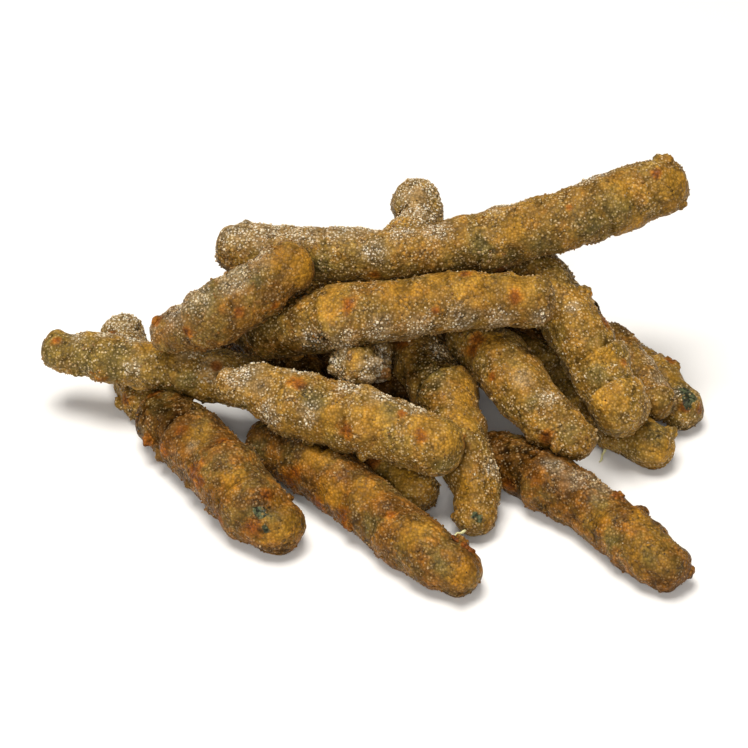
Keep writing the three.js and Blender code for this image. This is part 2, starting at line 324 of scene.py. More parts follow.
# %% [markdown]
# Thick batter runs and pools before it sets, so a bean's outline swells and shrinks slowly, and a second
# dip leaves steps. Both are plain formulas of the distance along the bean and the angle round it, the
# same as in the frame, so the piece keeps the solid's form. Round each step the coat also gets painted
# light on the rim and painted shade in the hollow just before it.

# %% Slow lumps and ledges
LEDGE_RIM_LIGHT = 0.35
LEDGE_HOLLOW_SHADE = 0.9


def phase(seed, index):
    """An angle that looks random and is always the same for that seed and index"""
    value = math.sin(seed * 12.9898 + index * 78.233) * 43758.5453
    return 2 * math.pi * (value - math.floor(value))


def smoothstep(values, low, high):
    """0 below low, 1 above high, with a soft rise between them"""
    t = np.clip((values - low) / (high - low), 0, 1)
    return t * t * (3 - 2 * t)


def lumps(seed, along, around):
    """Height in mm of the slow swells, waves that run both along the bean and round it"""
    total = np.zeros_like(along)
    for wave in range(LUMP_WAVES):
        turns = 1 + wave % 3
        travel = 2 * math.pi * along * (1 + 0.45 * wave) / LUMP_LENGTH
        total += np.cos(turns * around + phase(seed, 2 * wave)) * np.cos(travel + phase(seed, 2 * wave + 1))
    return LUMP_HEIGHT * total / math.sqrt(LUMP_WAVES / 2)


def ledge_height(ledges, along, around):
    """Height of the double coats, and the painted light on their rims and painted shade in the hollows
    before them
    """
    height = np.zeros_like(along)
    shade = np.zeros_like(along)
    for start, side, rise in ledges:
        turn = around - math.radians(side)
        away = np.abs(np.arctan2(np.sin(turn), np.cos(turn)))
        past = along - start - LEDGE_BOW * away**2
        spread = 1 - smoothstep(np.degrees(away), LEDGE_SPREAD / 3, LEDGE_SPREAD)
        rising = smoothstep(past, -LEDGE_EDGE / 3, 0)
        height += rise * spread * rising * (1 - smoothstep(past, LEDGE_EDGE, LEDGE_LENGTH))
        hollow = smoothstep(past, -3 * LEDGE_EDGE / 2, -LEDGE_EDGE / 3) * (1 - rising)
        rim = rising * (1 - smoothstep(past, LEDGE_EDGE, 4 * LEDGE_EDGE))
        shade += rise * spread * (LEDGE_RIM_LIGHT * rim - LEDGE_HOLLOW_SHADE * hollow)
    return height, shade


print("lumps from", round(lumps(1, np.linspace(0, 90, 500), np.zeros(500)).min(), 2), "mm")

# %% [markdown]
# The rings of the ball are spread evenly over the bean's skin, closer together where the ends round off,
# so that grains are as fine on the blunt tips as on the sides.

# %% Drawing a ball out into a bean
GRAIN_STEP = 0.36  # mm between neighbouring points of the skin


def profile(line):
    """Distances along the bean and its outline there, and the length measured over the skin"""
    turn = np.linspace(0, math.pi / 2, 60)
    start = -line.first * np.cos(turn)
    end = line.length + line.last * np.sin(turn)
    along = np.concatenate([start, np.linspace(0, line.length, 200)[1:-1], end])
    _, radius, _, _, past = line.at(along)
    outline = radius * np.maximum(1 - (np.abs(past) / radius) ** CAP_POWER, 0) ** (1 / CAP_POWER)
    over = np.concatenate([[0], np.cumsum(np.hypot(np.diff(along), np.diff(outline)))])
    return along, over


def bean_skin(line, seed, ledges):
    """A bmesh ball drawn out along the line, and the painted light and shade round the steps at each vertex
    """
    along_table, over_table = profile(line)
    middle = float(np.mean(line.radii))
    around_count = int(2 * math.pi * middle / GRAIN_STEP)
    ring_count = int(over_table[-1] / GRAIN_STEP)
    bm = bmesh.new()
    bmesh.ops.create_uvsphere(bm, u_segments=around_count, v_segments=ring_count, radius=1)
    mesh = bpy.data.meshes.new("bean")
    bm.to_mesh(mesh)
    bm.free()
    ball = read_points(mesh)
    share = np.arccos(np.clip(ball[:, 2], -1, 1)) / math.pi
    along = np.interp(share * over_table[-1], over_table, along_table)
    around = np.arctan2(ball[:, 0], ball[:, 1])
    place, radius, side, up, past = line.at(along)
    cap = np.maximum(1 - np.minimum(np.abs(past) / radius, 1) ** CAP_POWER, 0) ** (1 / CAP_POWER)
    step, shade = ledge_height(ledges, along, around)
    relief = lumps(seed, along, around) + step
    reach = ((radius + relief) * cap)[:, None]
    points = place + reach * (side * np.sin(around)[:, None] + up * np.cos(around)[:, None])
    write_points(mesh, points)
    return mesh, shade


def read_points(mesh):
    """The mesh's vertices as rows"""
    flat = np.empty(len(mesh.vertices) * 3)
    mesh.vertices.foreach_get("co", flat)
    return flat.reshape(-1, 3)


def write_points(mesh, points):
    """Moves the mesh's vertices to these rows"""
    mesh.vertices.foreach_set("co", np.asarray(points, float).ravel())
    mesh.update()


def read_normals(mesh):
    """The outward direction at each vertex"""
    flat = np.empty(len(mesh.vertices) * 3, np.float32)
    mesh.vertex_normals.foreach_get("vector", flat)
    return flat.reshape(-1, 3).astype(float)


print("skin points every", GRAIN_STEP, "mm")

# %% [markdown]
# The batter's own surface has more scales. Shallow crags a few millimetres wide come from bubbling fat,
# and rounded pimples of about a millimetre are clumps of crumb. Perlin noise gives crags, and distance to
# scattered points, as in Voronoi cells, gives rounded grains. Some areas stay smooth, where a clot of
# batter took no crumbs.

# %% Crags and pimples
CRAG_SIZE, CRAG_HEIGHT = 3.6, 0.36
PIMPLE_SIZE, PIMPLE_HEIGHT = 1.35, 0.32
SMOOTH_SIZE = 10
DISTANCE_MAX = 0.75  # a Voronoi distance that is rarely passed, in cells


def field(function, points, size, shift):
    """The noise function's value at each point, for features of that size in mm"""
    return np.array([function(p) for p in (points / size + shift).tolist()])


def cell_bump(points, size, shift):
    """Rounded grains: 1 at the middle of a grain, 0 between grains"""
    near = field(lambda p: noise.voronoi(p)[0][0], points, size, shift)
    return np.sqrt(np.clip(1 - (near / DISTANCE_MAX) ** 2, 0, 1))


def batter_relief(points, shift, smooth=0.0):
    """Height in mm of the batter's surface, how rough it is, and how high each point stands, 0 to 1, which
    the colour turns into painted shade in the low places
    """
    rough = 0.45 + 0.55 * smoothstep(field(noise.noise, points, SMOOTH_SIZE, shift + 31), -0.3, 0.1)
    rough = rough * (1 - 0.7 * smooth)
    crag = field(lambda p: noise.fractal(p, 1.0, 2.0, 3), points, CRAG_SIZE, shift)
    pimple = cell_bump(points, PIMPLE_SIZE, shift) - 0.6
    height = CRAG_HEIGHT * crag + rough * PIMPLE_HEIGHT * pimple
    painted_shade_level = smoothstep(0.6 * crag + rough * pimple, -0.6, 0.6)
    return height, rough, painted_shade_level


sample = np.random.default_rng(1).uniform(-20, 20, (500, 3))
print("relief in mm", [round(float(v), 2) for v in np.percentile(batter_relief(sample, 0)[0], (1, 50, 99))])

# %% [markdown]
# Spots are places on a bean that differ in colour: toasted red-brown points where the batter was thin,
# smooth gold where it pooled, some of it also painted light on shaded places, green where the bean shows
# through a thin coat, bare green skin where the coat broke off, pepper-like dark specks, painted shade
# as dark coat where shadow falls, and pale grains of flour, which also paint light on top edges and on
# shaded places. Each is a distance along the bean, an angle from its top and a radius. Its edge is made
# ragged by noise.

# %% Spots
SPOTS = {
    "toast": {
        "long_top": [(55.7, 135, 2), (72.5, 30, 0.9), (93.2, 24, 1.5), (30, 100, 1.4)],
        "front_top": [(19.4, 33, 2), (43, -9, 1.7), (53.6, 42, 1.8), (36, 66, 1)],
        "left_top": [(18, 66, 1.5), (8, 70, 1.4), (0, 10, 1.8), (24, 100, 1.3)],
        "middle": [(15.2, 12, 2.2), (28.7, 69, 2.2), (44.6, 42, 1.8), (51.5, -66, 2), (39, 10, 1.2)],
        "left_floor": [
            (22.4, 60, 3), (25, 66, 2.2), (9.8, 75, 2.2), (37.7, 3, 1.8), (39.2, 66, 2.4), (20.6, -12, 2),
            (-3.7, 0, 2.4), (11.6, 30, 1.8), (2, 93, 2), (33, 95, 2),
        ],
        "right_inner": [(5.2, 36, 2.2), (5.8, 57, 2.4), (30.4, 87, 2.4), (15, 60, 1.2)],
        "front_floor": [(39, 21, 1.5), (13, 69, 2.4), (11.2, 92, 2), (29.2, 90, 2.8), (21, 100, 2.6)],
        "left_arm": [(11, 102, 1.8), (0, 21, 1.6), (37, 30, 1.5)],
        "right_last": [(17.7, -45, 2), (32, -42, 1.6), (31, 30, 1.6)],
        "cross": [(12.8, 39, 1.8), (14, 80, 2)],
        "right_outer": [(18, -40, 1.8), (28, -30, 1.4), (3, 60, 2)],
        "right_floor": [(6.9, 93, 2.2), (13.2, 51, 1.8), (29, -28, 1.6)],
        "left_foot": [(3, 40, 1.8), (25, 60, 2)],
        "leaning": [(3, 30, 3), (26, 60, 1.3)],
        "short_floor": [(8, 40, 3)],
        "inner_floor": [(10, 20, 4)],
        "rear_floor": [(12, -60, 3), (40, 20, 4)],
        "rear_middle": [(30, -40, 3)],
        "rear_right": [(12, -20, 3)],
    },
    # smooth gold of pooled batter; some of these spots also paint light on places in shade
    "gold_and_light": {
        "left_top": [(33.7, 66, 6), (30, 30, 4)],
        "long_top": [(61, 42, 4), (83, 24, 4), (95.6, 54, 6), (86, 110, 4), (12, 70, 5)],
        "front_top": [(16, 21, 5), (30, 20, 6), (45, 30, 6), (54, 20, 5), (38, 0, 5)],
        "left_arm": [(20.6, -12, 3.5), (27, 20, 4), (36, 20, 4), (2, 30, 3)],
        "middle": [(34, 30, 5), (24, 60, 4), (44, 20, 4), (8, 40, 4), (50, 30, 5)],
        "right_inner": [(8.8, 15, 4), (20, 20, 4)],
        "right_outer": [(36, 33, 4), (24, 20, 4)],
        "right_under": [(40, -30, 6), (46, 20, 4)],
        "short_floor": [(16, 20, 5)],
        "right_floor": [(37.8, -6, 3), (43, 40, 6), (31, 42, 4)],
        "front_floor": [(30, 20, 4), (46, 20, 5), (16, 20, 4), (24, 60, 4), (57, 42, 5)],
        "left_floor": [(16, 20, 4), (32, 20, 4), (44.9, 27, 6.5)],
        "leaning": [(44, 30, 3), (30, 0, 4), (20, -40, 4), (25, -20, 4)],
        "cross": [(56, 0, 3), (47, 40, 3), (2, 10, 3)],
        "right_last": [(12, 20, 4), (23, 10, 4)],
        "rear_middle": [(20, 0, 6)],
        "rear_crest": [(14, 0, 5)],
    },
    "green": {
        "long_top": [
            (52.4, 69, 5), (57.2, 111, 5), (65, 96, 5), (47, 99, 5), (80.3, 54, 5), (75.2, 75, 5),
            (20, 80, 4),
        ],
        "left_arm": [(6, 66, 7), (1, 40, 7), (31, 70, 3), (15, 60, 6)],
        "left_top": [(16, 0, 5), (12.4, 18, 5), (22, -12, 4.5), (24, 20, 3)],
        "cross": [(54.6, 70, 3), (45, 40, 2.5)],
        "middle": [(2.3, 129, 3), (50.6, 87, 3), (20, 30, 3.5), (36, 10, 3)],
        "front_floor": [(1.3, 63, 3), (52.6, 48, 3), (36, 60, 3)],
        "leaning": [(17.7, 27, 4.5), (36.6, 93, 3), (50.4, 3, 2)],
        "right_floor": [(28.8, 21, 3), (44.7, 48, 3), (36, 60, 3)],
        "right_inner": [(34.3, 42, 3.5), (24.4, 36, 3)],
        "right_outer": [(29, 39, 3.5)],
        "right_third": [(17, 66, 2.5)],
        "right_last": [(27, -4, 4)],
        "right_under": [(42.4, -21, 3), (44, 9, 3)],
        "left_floor": [(41, 30, 3), (38, 50, 2.5)],
        "rear_floor": [(26, -50, 5)],
        "rear_crest": [(20, -60, 4)],
        "rear_middle": [(20, -70, 5)],
    },
    "bare": {
        "left_floor": [(39.5, 36, 1.5), (42.2, 54, 1.1), (41, 30, 1)],
        "right_last": [(30.2, 0, 1.8), (28.4, -8, 1.5)],
        "leaning": [(50.1, 3, 1.3)],
        "rear_middle": [(20, -70, 2.2)],
    },
    "pepper": {
        "right_under": [(44, 9, 2.4)],
        "right_third": [(6, -15, 1.5)],
        "leaning": [(46.8, -6, 1.2)],
        "long_top": [(72, 12, 2)],
        "left_floor": [(40, 20, 1.6)],
    },
    # painted shade: dark coat put where shadow falls between the beans
    "painted_shade": {
        "front_top": [(-4, 60, 9), (3, 100, 8), (12, 120, 6)],
        "left_floor": [(4, 20, 9), (-4, 60, 9)],
        "right_floor": [(-2, 20, 10), (6, 40, 9)],
        "leaning": [(12, 20, 7), (20, 50, 6)],
        "left_arm": [(46, 60, 4)],
        "front_floor": [(4, -20, 5)],
    },
    # pale flour grains, which also paint light on lit top edges and on places in shade
    "frost": {
        "long_top": [
            (7, -12, 8), (14, -20, 8), (0, 0, 7), (22, -30, 7), (28, -30, 6), (30, 40, 4), (36, -3, 4),
            (44, 0, 4), (60, -50, 6), (80, -40, 5),
        ],
        "left_top": [(12.4, 10, 5), (20, 0, 5), (6, 10, 6), (26, -20, 5), (-2, 0, 5)],
        "left_arm": [(9.8, -18, 2.5), (4, 0, 2.5), (16, -20, 3), (30, 0, 4), (36, 30, 4), (18, 60, 2.5)],
        "left_foot": [(0, 0, 7), (8, 0, 7)],
        "cross": [
            (0, 0, 7), (6, 0, 6), (47, -60, 5), (50, -90, 4), (55, -80, 4), (55, 60, 4), (56, 160, 3),
        ],
        "middle": [
            (13, -36, 4), (26, -18, 4), (33, -18, 4), (2, 0, 6), (40, -30, 4), (8, 40, 4), (20, 60, 3),
            (12, 80, 4),
        ],
        "front_top": [
            (12, 92, 4), (17, 104, 5), (24, 90, 5), (32, 102, 5), (42, 95, 5), (50.6, 102, 4),
            (58.7, 99, 3),
        ],
        "right_inner": [(20, 20, 3), (26, 0, 3)],
        "right_floor": [(24, -25, 5), (15, 9, 3), (20, 0, 4)],
        "right_last": [(8, 0, 5), (0, 0, 5), (27, 30, 3), (14, 40, 4), (21, 40, 4)],
        "right_third": [(15, -20, 2.5), (8, -60, 4)],
        "right_outer": [(13, 12, 2)],
        "left_floor": [(17, 38, 2)],
        "front_floor": [(8, 0, 3)],
        "leaning": [(10, -20, 4), (40, -40, 3)],
        "rear_middle": [(10, -20, 6)],
        "rear_floor": [(50, -20, 6)],
    },
}
SPOT_EDGE = {"toast": 0.5, "bare": 1.0}
SPOT_EDGE_OTHERS = 0.4


def spot_strengths(name, points, shift):
    """How strongly each point shows each kind of spot, 0 to 1"""
    ragged = field(lambda p: noise.fractal(p, 0.8, 2.0, 4), points, 2.6, shift + 53)
    strengths = {}
    for kind, spots in SPOTS.items():
        strength = np.zeros(len(points))
        edge = SPOT_EDGE.get(kind, SPOT_EDGE_OTHERS)
        for along, degrees, size in spots.get(name, []):
            centre, _ = LINES[name].surface_point(along, degrees)
            away = np.linalg.norm(points - centre, axis=1) / size + edge * ragged
            strength = np.maximum(strength, 1 - smoothstep(away, 0.2, 1.2))
        strengths[kind] = strength
    return strengths


print("spots", {kind: sum(len(v) for v in spots.values()) for kind, spots in SPOTS.items()})

# %% [markdown]
# Where beans lie against each other or on the floor, shade falls in the narrow gaps, and it is painted
# into the coat as dark colour. So each point of a skin is given its nearness to the other beans, 1 where
# they touch and 0 some millimetres away, and a weaker nearness to the floor.

# %% Nearness to other beans and the floor
WIDEST_BEAN = 8  # a radius in mm that no bean passes
LINE_STRIDE = 12  # every twelfth place of a centreline is near enough
CHUNK = 4000  # points compared at a time, to save memory
SHADE_REACH = 3.2
FLOOR_REACH = 5.5
FLOOR_SHADE = 0.75


def nearness(name, points):
    """1 where another bean touches, less where the floor does, 0 beyond the reach"""
    gap = np.full(len(points), SHADE_REACH)
    for other, line in LINES.items():
        if other == name:
            continue
        low = line.points.min(0) - WIDEST_BEAN - SHADE_REACH
        high = line.points.max(0) + WIDEST_BEAN + SHADE_REACH
        close = np.flatnonzero(np.all((points > low) & (points < high), axis=1))
        centres, radii = line.points[::LINE_STRIDE], line.radii[::LINE_STRIDE]
        for part in np.array_split(close, max(len(close) // CHUNK, 1)):
            away = np.linalg.norm(points[part, None] - centres[None], axis=2) - radii
            gap[part] = np.minimum(gap[part], away.min(1))
    to_beans = 1 - smoothstep(gap, 0, SHADE_REACH)
    to_floor = FLOOR_SHADE * (1 - smoothstep(points[:, 2], 0, FLOOR_REACH))
    return np.maximum(to_beans, to_floor)


print("nearness at the two ends of a bean", nearness("middle", LINES["middle"].points[[0, -1]]))

# %% [markdown]
# The material is batter fried in oil: a crust of flour and crumbs, matt and dry on its grains and faintly
# oily between them. Its colour changes at every scale, so it is built up in layers, from broad areas of
# gold, tan and olive down to single grains, each with a tint of its own. Grains of half a millimetre come
# from Voronoi cells, whose random colour gives each grain its tint and whose distance gives its bump,
# painted shade in the gaps between grains, and pale specks that are partly flour and partly painted
# glints. Low places, contact gaps and the hollows before steps are darkened as painted shade, and lose
# some reflection and sheen with it. Fine down of flour catches the light at the edges, which the sheen
# layer gives.

# %% Batter material
GRAIN_MM = 0.58
BROAD_MM = 8
MOTTLE_MM = 3.4
SPECK_MM = 3.4


def mix(tree, factor, first, second):
    """Colour first, changed towards colour second by factor"""
    made = add_node(tree, "ShaderNodeMix", {0: factor, 6: first, 7: second}, data_type="RGBA")
    return made.outputs[2]


def remap(tree, value, low, high, to_low, to_high):
    """A value between low and high, carried over to the second pair and held there"""
    made = add_node(tree, "ShaderNodeMapRange", {0: value, 1: low, 2: high, 3: to_low, 4: to_high})
    return made.outputs[0]


def multiply(tree, first, second):
    """The product of two values"""
    return add_node(tree, "ShaderNodeMath", {0: first, 1: second}, operation="MULTIPLY").outputs[0]


def attribute(tree, name):
    """What the mesh stores under that name"""
    return add_node(tree, "ShaderNodeAttribute", attribute_name=name).outputs["Fac"]


def new_material(name):
    """A material with its node tree, its shader and the place on the object in metres"""
    made = bpy.data.materials.new(name)
    made.use_nodes = True
    tree = made.node_tree
    return made, tree, tree.nodes["Principled BSDF"], add_node(tree, "ShaderNodeTexCoord").outputs["Object"]


def batter_material(name):
    """Fried crumb batter: matt sandy crust with tinted grains"""
    made, tree, shader, where = new_material(name)
    broad = add_node(tree, "ShaderNodeTexNoise",
                     {"Vector": where, "Scale": 1 / (BROAD_MM * MM), "Detail": 3})
    mottle = add_node(tree, "ShaderNodeTexNoise",
                      {"Vector": where, "Scale": 1 / (MOTTLE_MM * MM), "Detail": 6, "Distortion": 0.3})
    grain = add_node(tree, "ShaderNodeTexVoronoi", {"Vector": where, "Scale": 1 / (GRAIN_MM * MM)})
    dots = add_node(tree, "ShaderNodeTexVoronoi", {"Vector": where, "Scale": 1 / (SPECK_MM * MM)})
    tint = add_node(tree, "ShaderNodeSeparateColor", {0: grain.outputs["Color"]})
    varied = add_node(tree, "ShaderNodeSeparateColor", {0: mottle.outputs["Color"]})
    lightness = remap(tree, varied.outputs[1], 0.37, 0.62, 0.76, 1.16)
    sandy = remap(tree, varied.outputs[2], 0.4, 0.58, 0.5, 1.3)

    toast = attribute(tree, "toast")
    frost = attribute(tree, "frost")
    # browning of the fry, which also paints shade on the low and hidden beans
    colour = mix(tree, attribute(tree, "brown_and_shade"), hex_colour("9B752C"), hex_colour("6D450E"))
    olive = remap(tree, broad.outputs[0], 0.45, 0.6, 0.0, 0.45)
    colour = mix(tree, olive, colour, hex_colour("7A682E"))
    patchy = remap(tree, attribute(tree, "brown_and_shade"), 0.0, 1.0, 0.3, 0.9)
    amber = remap(tree, mottle.outputs[0], 0.5, 0.6, 0.0, 0.7)
    colour = mix(tree, multiply(tree, amber, patchy), colour, hex_colour("955F1C"))
    burnt = remap(tree, mottle.outputs[0], 0.46, 0.38, 0.0, 0.7)
    colour = mix(tree, multiply(tree, burnt, patchy), colour, hex_colour("573A16"))
    # gold of pooled batter, partly painted light on shaded places
    colour = mix(tree, multiply(tree, attribute(tree, "gold_and_light"), 0.5), colour, hex_colour("AE7C1C"))
    colour = mix(tree, multiply(tree, attribute(tree, "green"), 0.6), colour, hex_colour("59542A"))
    # pale flour, and painted light on lit edges and on shaded places
    colour = mix(tree, multiply(tree, frost, 0.55), colour, hex_colour("8E7A5A"))
    halo = remap(tree, toast, 0.0, 0.5, 0.0, 0.6)
    colour = mix(tree, halo, colour, hex_colour("9C5A0C"))
    heart = remap(tree, toast, 0.45, 1.0, 0.0, 0.7)
    colour = mix(tree, heart, colour, hex_colour("743806"))
    charred = remap(tree, toast, 1.0, 1.6, 0.0, 0.9)
    colour = mix(tree, charred, colour, hex_colour("561E08"))

    grainy = multiply(tree, sandy, remap(tree, tint.outputs[0], 0.0, 1.0, -0.4, 0.3))
    shade = add_node(tree, "ShaderNodeMath", {0: grainy, 1: lightness}).outputs[0]
    # painted shade in the gaps between grains
    shade = multiply(tree, shade, remap(tree, grain.outputs["Distance"], 0.3, 0.75, 1.08, 0.72))
    painted_shade_level = attribute(tree, "painted_shade_level")
    # painted shade: low places of the relief, the hollows before steps and the contact gaps darken the
    # colour, and step rims lighten it
    painted_pit_shade = remap(tree, painted_shade_level, -1.2, 1.5, 0.1, 1.3)
    tinted = add_node(tree, "ShaderNodeVectorMath", {0: colour, 3: multiply(tree, shade, painted_pit_shade)},
                      operation="SCALE").outputs[0]
    # pale specks: pale flour grains, partly painted glints of light
    point = remap(tree, grain.outputs["Distance"], 0.2, 0.48, 1.0, 0.0)
    flour_and_light_share = remap(tree, frost, 0.0, 1.0, 0.0, 0.45)
    amount = add_node(tree, "ShaderNodeMath", {0: flour_and_light_share, 1: tint.outputs[1]})
    lit = remap(tree, amount.outputs[0], 0.3, 0.9, 0.0, 0.75)
    clear = remap(tree, toast, 0.1, 0.6, 1.0, 0.05)
    gloss = remap(tree, attribute(tree, "gold_and_light"), 0.0, 1.0, 1.0, 0.15)
    plain = multiply(tree, gloss, remap(tree, attribute(tree, "brown_and_shade"), 0.0, 1.0, 1.0, 0.35))
    pale_grain_and_glint = multiply(tree, multiply(tree, point, lit), multiply(tree, clear, multiply(tree, plain, sandy)))
    pale = mix(tree, frost, hex_colour("CCB48A"), hex_colour("DDD4C2"))
    colour = mix(tree, pale_grain_and_glint, tinted, pale)
    skin_tint = remap(tree, tint.outputs[0], 0.2, 0.9, 0.0, 1.0)
    skin = mix(tree, skin_tint, hex_colour("161C10"), hex_colour("4A5238"))
    broken = multiply(tree, remap(tree, attribute(tree, "bare"), 0.15, 0.4, 0.0, 0.95),
                      remap(tree, tint.outputs[1], 0.85, 0.95, 1.0, 0.4))
    colour = mix(tree, broken, colour, skin)
    pepper = remap(tree, dots.outputs["Distance"], 0.045, 0.075, 0.85, 0.0)
    cluster = multiply(tree, remap(tree, tint.outputs[1], 0.25, 0.15, 0.0, 0.9), attribute(tree, "pepper"))
    colour = mix(tree, cluster, colour, hex_colour("1C1A12"))
    colour = mix(tree, pepper, colour, hex_colour("241408"))
    tree.links.new(colour, shader.inputs["Base Color"])

    height = remap(tree, grain.outputs["Distance"], 0.0, 0.75, 1.0, 0.0)
    fine = add_node(tree, "ShaderNodeBump", {"Strength": 0.9, "Distance": 0.2 * MM, "Height": height})
    soft = add_node(tree, "ShaderNodeBump", {"Strength": 0.5, "Distance": 0.3 * MM,
                                             "Height": mottle.outputs[0], "Normal": fine.outputs[0]})
    tree.links.new(soft.outputs[0], shader.inputs["Normal"])
    tree.links.new(remap(tree, tint.outputs[2], 0.0, 1.0, 0.32, 0.75), shader.inputs["Roughness"])
    # painted shade on reflections: low and shaded places reflect less and lose their sheen
    tree.links.new(remap(tree, painted_shade_level, -0.8, 0.4, 0.02, 0.17), shader.inputs["Specular IOR Level"])
    tree.links.new(remap(tree, painted_shade_level, -0.8, 0.4, 0.0, 0.03), shader.inputs["Sheen Weight"])
    shader.inputs["IOR"].default_value = 1.46
    shader.inputs["Subsurface Weight"].default_value = 0.05
    shader.inputs["Subsurface Radius"].default_value = (1.0, 0.5, 0.2)
    shader.inputs["Subsurface Scale"].default_value = 0.8 * MM
    shader.inputs["Sheen Roughness"].default_value = 0.45
    shader.inputs["Sheen Tint"].default_value = hex_colour("F4E8CC")
    return made


def crumb_material(name):
    """Loose grains of flour and crumb: each one its own tint from amber to nearly white"""
    made, tree, shader, where = new_material(name)
    tint = attribute(tree, "tint")
    colour = mix(tree, remap(tree, tint, 0.0, 0.5, 0.0, 1.0), hex_colour("6E4C22"), hex_colour("A68B5E"))
    colour = mix(tree, remap(tree, tint, 0.45, 1.0, 0.0, 1.0), colour, hex_colour("DACFB6"))
    tree.links.new(colour, shader.inputs["Base Color"])
    # painted shade on reflections: darker crumbs, also those under painted shade, reflect less
    tree.links.new(remap(tree, tint, 0.0, 0.4, 0.05, 0.5), shader.inputs["Specular IOR Level"])
    shader.inputs["Roughness"].default_value = 0.4
    shader.inputs["IOR"].default_value = 1.5
    shader.inputs["Subsurface Weight"].default_value = 0.3
    shader.inputs["Subsurface Radius"].default_value = (1.0, 0.7, 0.4)
    shader.inputs["Subsurface Scale"].default_value = 0.4 * MM
    return made


batter = batter_material("fried_crumb_batter")
grains = crumb_material("loose_flour_grains")
print("materials", batter.name, grains.name)

# %% [markdown]
# Each bean is now made: drawn out, roughened along its own normals, pressed flat where it lies on the
# surface, and given the attributes that the material reads. How brown a bean fried is set bean by bean,
# and the same value paints shade: dark for the floor beans and the hidden inner ones, and low values
# paint light on some beans that lie in shade.

# %% Beans
# How brown each bean fried, which also paints shade on the floor beans and hidden inner ones, and light on
# some shaded beans
BROWN_AND_SHADE = {
    "long_top": 0.3, "front_top": 0.4, "left_top": 0.75, "cross": 0, "left_arm": 0.1,
    "left_foot": 0, "left_floor": 0.95, "middle": 0.2, "front_floor": 0.95, "short_floor": 0.1,
    "leaning": 0.3, "right_floor": 1, "right_inner": 0.3, "right_under": 0, "right_outer": 0.1,
    "right_third": 0.5, "right_last": 0, "inner_floor": 1, "inner_left": 1, "inner_right": 1,
    "inner_short": 1, "rear_crest": 0.2,
}
BROWN_AND_SHADE_OTHERS = 0.45


def dress(piece):
    """Hangs a piece of the heap under the root and hides the heap's solid that the pieces stand for"""
    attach(piece, ROOT)
    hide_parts(HEAP)
    return piece


def finish_piece(name, mesh, material, smooth=True):
    """Puts a finished mesh into the scene as one piece of the heap"""
    mesh.materials.append(material)
    if smooth:
        mesh.shade_smooth()
    else:
        mesh.shade_flat()
    piece = bpy.data.objects.new(name, mesh)
    scene.collection.objects.link(piece)
    return dress(piece)


def store(mesh, name, values):
    """Keeps one value for each vertex, which a material can read"""
    layer = mesh.attributes.new(name, "FLOAT", "POINT")
    layer.data.foreach_set("value", np.asarray(values, np.float32))


def press_flat(points):
    """What would reach below the surface lies flat on it"""
    points[:, 2] = np.maximum(points[:, 2], 0)
    return points


def dressed_strengths(name, points, seed):
    """The spots of a bean, with painted shade where others touch it, near the floor, and all over in the
    heap's middle
    """
    strengths = spot_strengths(name, points, seed)
    # The inner beans lie in the heap's shade, so they take painted shade all over.
    touched = np.ones(len(points)) if name.startswith("inner") else nearness(name, points)
    strengths["painted_shade"] = np.maximum(strengths["painted_shade"], touched)
    return strengths


# How much the painted shade darkens the coat
PAINTED_SHADE_DARK = 1.15
SEEDS = {name: seed for seed, name in enumerate(BEANS, start=1)}

SKINS = {}
for name, seed in SEEDS.items():
    mesh, shade = bean_skin(LINES[name], seed, LEDGES.get(name, []))
    points = read_points(mesh)
    normals = read_normals(mesh)
    strengths = dressed_strengths(name, points, seed)
    height, rough, painted_shade_level = batter_relief(points, seed * 3.7, strengths["gold_and_light"])
    for kind, strength in strengths.items():
        store(mesh, kind, strength)
    # Low places, the hollows before steps and the contact gaps make this level darker as painted shade, and
    # step rims lighter as painted light.
    store(mesh, "painted_shade_level", painted_shade_level + shade - PAINTED_SHADE_DARK * strengths["painted_shade"])
    store(mesh, "brown_and_shade", np.full(len(points), BROWN_AND_SHADE.get(name, BROWN_AND_SHADE_OTHERS)))
    points = press_flat(points + normals * height[:, None])
    write_points(mesh, points)
    SKINS[name] = (mesh, points, rough, strengths)
print(sum(len(v[1]) for v in SKINS.values()), "points in", len(SKINS), "beans")

# %% [markdown]
# Nubs are balls of batter that ran together and set. Each one is sunk in its bean, and has the same
# crags and pimples. They are joined into one piece.

# %% Nubs
NUB_SINK = 0.65


def ball_points(divisions):
    """Points and triangles of a ball of radius one"""
    bm = bmesh.new()
    bmesh.ops.create_icosphere(bm, subdivisions=divisions, radius=1)
    corners = np.array([v.co[:] for v in bm.verts])
    triangles = np.array([[v.index for v in face.verts] for face in bm.faces])
    bm.free()
    return corners, triangles


def joined(name, balls, triangles):
    """One mesh of many copies of a shape: balls has a row of corners for each copy"""
    count, size = balls.shape[:2]
    faces = (triangles[None] + size * np.arange(count)[:, None, None]).reshape(-1, 3)
    mesh = bpy.data.meshes.new(name)
    mesh.from_pydata(balls.reshape(-1, 3).tolist(), [], faces.tolist())
    return mesh


